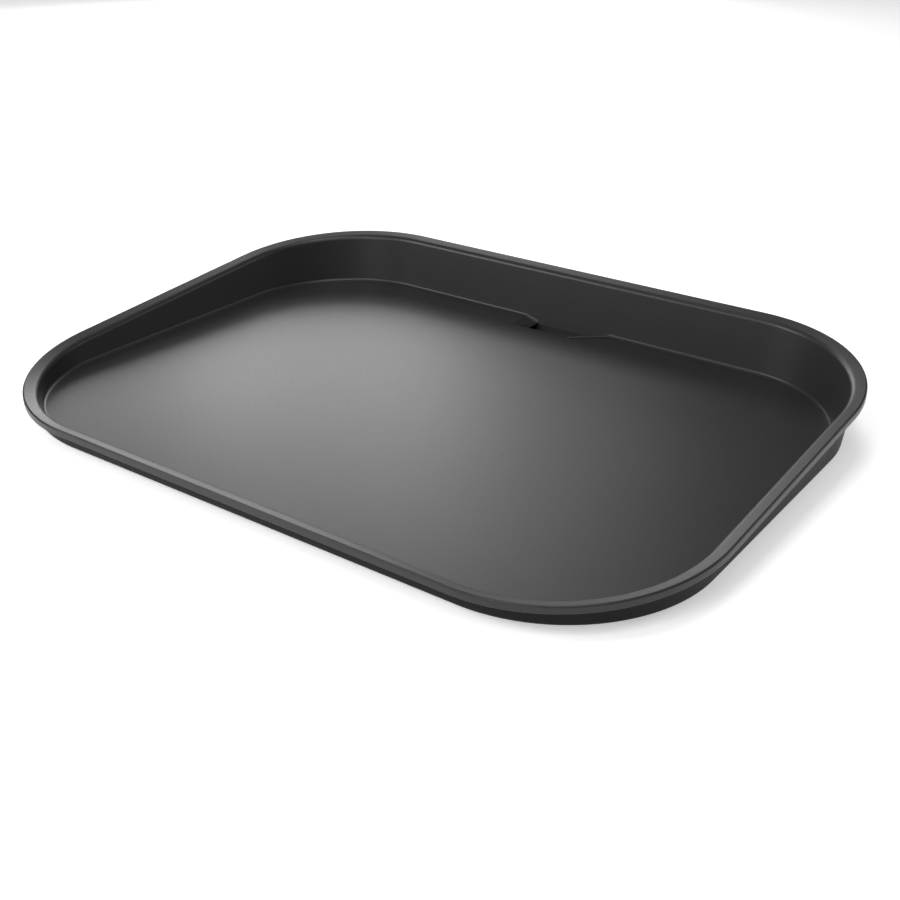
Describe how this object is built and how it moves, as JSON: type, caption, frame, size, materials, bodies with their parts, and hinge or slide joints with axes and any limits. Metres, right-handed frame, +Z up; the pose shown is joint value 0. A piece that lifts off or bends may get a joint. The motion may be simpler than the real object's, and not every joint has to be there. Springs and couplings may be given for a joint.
{
  "type": "electric griddle",
  "caption": "Slim table-top electric griddle: wide rounded cooking pan, tilted rim with high rear wall, rear drain, hidden grease tray, flat heater and rear probe socket.",
  "frame": {"origin": "table level, under the middle of the whole footprint, socket housing included", "axes": "+X to the griddle's right, +Y to the rear (high wall, drain and socket), +Z up"},
  "size_m": [0.56, 0.438, 0.0522],
  "materials": {
    "pan_coating": "satin non-stick coating on die-cast aluminium",
    "shell_enamel": "satin black enamel on pressed steel",
    "zinc_steel": "zinc-coated sheet",
    "heat_plate": "rolled sheet",
    "mica": "pressed mica sheet",
    "ribbon_alloy": "resistance ribbon",
    "brass": "plain",
    "glass_fibre": "needled glass-fibre blanket",
    "screw_steel": "zinc-plated",
    "foot_rubber": "moulded, matt",
    "silicone": "red silicone",
    "tray_coating": "black non-stick coating on steel sheet",
    "tray_steel": "brushed stainless sheet",
    "black_plastic": "moulded heat-resistant plastic, fine grain",
    "steatite": "unglazed steatite",
    "pin_nickel": "nickel-plated",
    "sleeve_aluminium": "plain",
    "lead_brown": "silicone insulation",
    "lead_blue": "silicone insulation",
    "lead_green": "silicone insulation",
    "fuse_case": "tinned case"
  },
  "bodies": {
    "base": {"side_shell": "shell_enamel", "bottom_plate": "zinc_steel", "heat_plate": "heat_plate", "mica_cover_upper": "mica", "heating_ribbon_left": "ribbon_alloy", "heating_ribbon_right": "ribbon_alloy", "series_link": "brass", "ribbon_tab_left": "brass", "ribbon_tab_right": "brass", "mica_core": "mica", "mica_cover_lower": "mica", "insulation_blanket": "glass_fibre", "pressure_plate": "zinc_steel", "clamp_screws": "screw_steel", "shell_screws": "screw_steel", "foot_front_left": "foot_rubber", "foot_front_right": "foot_rubber", "foot_rear_left": "foot_rubber", "foot_rear_right": "foot_rubber", "foot_screws": "screw_steel", "rim_pads": "silicone", "tray_rail_left": "tray_steel", "tray_rail_right": "tray_steel", "rail_rivets": "screw_steel", "socket_housing": "black_plastic", "socket_screws": "screw_steel", "terminal_block": "steatite", "contact_pin_live": "pin_nickel", "contact_pin_neutral": "pin_nickel", "probe_sleeve": "sleeve_aluminium", "sensor_bridge": "sleeve_aluminium", "lead_grommet": "silicone", "live_lead": "lead_brown", "fuse_lead": "lead_brown", "neutral_lead": "lead_blue", "earth_lead": "lead_green", "earth_stud": "brass", "thermal_fuse": "fuse_case", "fuse_clip": "screw_steel"},
    "pan": {"cooking_pan": "pan_coating"},
    "tray": {"grease_tray": "tray_coating", "tray_pull": "black_plastic", "tray_rivets": "screw_steel"}
  },
  "joints": [
    {"name": "pan_lift", "type": "slide", "parent": "base", "child": "pan", "axis": [0, 0, 1], "range_m": [0, 0.12]},
    {"name": "tray_slide", "type": "slide", "parent": "base", "child": "tray", "axis": [0, 1, 0], "range_m": [0, 0.062]}
  ]
}
